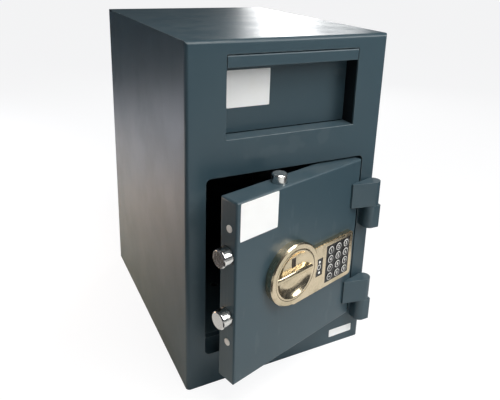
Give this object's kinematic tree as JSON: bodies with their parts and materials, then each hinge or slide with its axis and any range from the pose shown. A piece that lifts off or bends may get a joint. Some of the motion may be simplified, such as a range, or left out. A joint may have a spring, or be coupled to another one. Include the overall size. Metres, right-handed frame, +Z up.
{
  "type": "deposit safe",
  "caption": "Free-standing front loading deposit safe: tipping hopper with a grip lip over a hinged, bolted door with a knob and keypad lock.",
  "frame": {"origin": "centre of the base's underside on the floor", "axes": "+Z up, the front with the hopper and the door faces -Y, +X to the right when looking at the front"},
  "size_m": [0.3025, 0.4725, 0.5],
  "materials": {
    "body_paint": "satin dark blue-grey powder coat",
    "bright_steel": "bright plated",
    "zinc_steel": "zinc plated",
    "champagne_zinc": "polished champagne plated zinc",
    "white_plastic": "satin",
    "black_plastic": "satin",
    "key_black": "semi gloss",
    "green_board": "solder mask",
    "cell_sleeve": "plain sleeve",
    "red_plastic": "gloss"
  },
  "bodies": {
    "cabinet": {"front_frame": "body_paint", "side_left": "body_paint", "side_right": "body_paint", "top_plate": "body_paint", "back_plate": "body_paint", "base_plate": "body_paint", "jamb_left": "body_paint", "jamb_right": "body_paint", "jamb_head": "body_paint", "jamb_sill": "body_paint", "chute_left": "body_paint", "chute_right": "body_paint", "chute_floor": "body_paint", "fishing_guard": "body_paint", "guard_comb": "body_paint", "knuckle_upper": "body_paint", "knuckle_lower": "body_paint", "hinge_pins": "bright_steel"},
    "hopper": {"hopper_front": "body_paint", "hopper_cheeks": "body_paint", "hopper_tray": "body_paint", "hopper_rod": "bright_steel"},
    "door": {"door_pan": "body_paint", "door_cover": "body_paint", "cover_screws": "zinc_steel", "side_caps": "white_plastic", "leaf_upper": "body_paint", "leaf_lower": "body_paint", "lock_housing": "champagne_zinc", "keypad_frame": "black_plastic", "indicator_window": "black_plastic", "keypad_board": "green_board", "spindle_bush": "zinc_steel", "guide_studs": "zinc_steel", "battery_case": "black_plastic", "battery_lid": "black_plastic", "batteries": "cell_sleeve", "solenoid": "zinc_steel", "reset_switch": "black_plastic"},
    "knob": {"knob": "champagne_zinc", "spindle": "zinc_steel", "cam": "zinc_steel"},
    "side_bolts": {"side_bolts": "bright_steel", "bolt_carriage": "zinc_steel"},
    "top_bolt": {"top_bolt": "bright_steel", "top_link": "zinc_steel"},
    "plunger": {"solenoid_plunger": "zinc_steel"},
    "reset": {"reset_button": "red_plastic"},
    "key_1": {"key_1": "key_black"},
    "key_2": {"key_2": "key_black"},
    "key_3": {"key_3": "key_black"},
    "key_4": {"key_4": "key_black"},
    "key_5": {"key_5": "key_black"},
    "key_6": {"key_6": "key_black"},
    "key_7": {"key_7": "key_black"},
    "key_8": {"key_8": "key_black"},
    "key_9": {"key_9": "key_black"},
    "key_left": {"key_left": "key_black"},
    "key_0": {"key_0": "key_black"},
    "key_right": {"key_right": "key_black"}
  },
  "joints": [
    {"name": "door_hinge", "type": "hinge", "parent": "cabinet", "child": "door", "pos_m": [0.142, -0.2105, 0], "axis": [0, 0, 1], "range_deg": [-16, 149]},
    {"name": "hopper_tip", "type": "hinge", "parent": "cabinet", "child": "hopper", "pos_m": [0.003, -0.1692, 0.3785], "axis": [1, 0, 0], "range_deg": [0, 50]},
    {"name": "side_bolt_slide", "type": "slide", "parent": "door", "child": "side_bolts", "axis": [0.9613, 0.2756, 0], "range_m": [0, 0.015]},
    {"name": "knob_turn", "type": "hinge", "parent": "door", "child": "knob", "pos_m": [-0.01806, -0.24547, 0.1895], "axis": [-0.2756, 0.9613, 0], "range_deg": [0, 60]},
    {"name": "top_bolt_slide", "type": "slide", "parent": "door", "child": "top_bolt", "axis": [0, 0, -1], "range_m": [0, 0.0125]},
    {"name": "plunger_slide", "type": "slide", "parent": "door", "child": "plunger", "axis": [0, 0, -1], "range_m": [-0.006, 0]},
    {"name": "reset_press", "type": "slide", "parent": "door", "child": "reset", "axis": [0.2756, -0.9613, 0], "range_m": [0, 0.0015], "stiffness_N_per_m": 400, "springref_m": -0.001},
    {"name": "key_1_press", "type": "slide", "parent": "door", "child": "key_1", "axis": [-0.2756, 0.9613, 0], "range_m": [0, 0.0008], "stiffness_N_per_m": 800, "springref_m": -0.0006},
    {"name": "key_2_press", "type": "slide", "parent": "door", "child": "key_2", "axis": [-0.2756, 0.9613, 0], "range_m": [0, 0.0008], "stiffness_N_per_m": 800, "springref_m": -0.0006},
    {"name": "key_3_press", "type": "slide", "parent": "door", "child": "key_3", "axis": [-0.2756, 0.9613, 0], "range_m": [0, 0.0008], "stiffness_N_per_m": 800, "springref_m": -0.0006},
    {"name": "key_4_press", "type": "slide", "parent": "door", "child": "key_4", "axis": [-0.2756, 0.9613, 0], "range_m": [0, 0.0008], "stiffness_N_per_m": 800, "springref_m": -0.0006},
    {"name": "key_5_press", "type": "slide", "parent": "door", "child": "key_5", "axis": [-0.2756, 0.9613, 0], "range_m": [0, 0.0008], "stiffness_N_per_m": 800, "springref_m": -0.0006},
    {"name": "key_6_press", "type": "slide", "parent": "door", "child": "key_6", "axis": [-0.2756, 0.9613, 0], "range_m": [0, 0.0008], "stiffness_N_per_m": 800, "springref_m": -0.0006},
    {"name": "key_7_press", "type": "slide", "parent": "door", "child": "key_7", "axis": [-0.2756, 0.9613, 0], "range_m": [0, 0.0008], "stiffness_N_per_m": 800, "springref_m": -0.0006},
    {"name": "key_8_press", "type": "slide", "parent": "door", "child": "key_8", "axis": [-0.2756, 0.9613, 0], "range_m": [0, 0.0008], "stiffness_N_per_m": 800, "springref_m": -0.0006},
    {"name": "key_9_press", "type": "slide", "parent": "door", "child": "key_9", "axis": [-0.2756, 0.9613, 0], "range_m": [0, 0.0008], "stiffness_N_per_m": 800, "springref_m": -0.0006},
    {"name": "key_left_press", "type": "slide", "parent": "door", "child": "key_left", "axis": [-0.2756, 0.9613, 0], "range_m": [0, 0.0008], "stiffness_N_per_m": 800, "springref_m": -0.0006},
    {"name": "key_0_press", "type": "slide", "parent": "door", "child": "key_0", "axis": [-0.2756, 0.9613, 0], "range_m": [0, 0.0008], "stiffness_N_per_m": 800, "springref_m": -0.0006},
    {"name": "key_right_press", "type": "slide", "parent": "door", "child": "key_right", "axis": [-0.2756, 0.9613, 0], "range_m": [0, 0.0008], "stiffness_N_per_m": 800, "springref_m": -0.0006}
  ],
  "couplings": [
    {"joint": "knob_turn", "follows": "side_bolt_slide", "rad_per_m": 69.813},
    {"joint": "top_bolt_slide", "follows": "side_bolt_slide", "ratio": 0.83333}
  ]
}
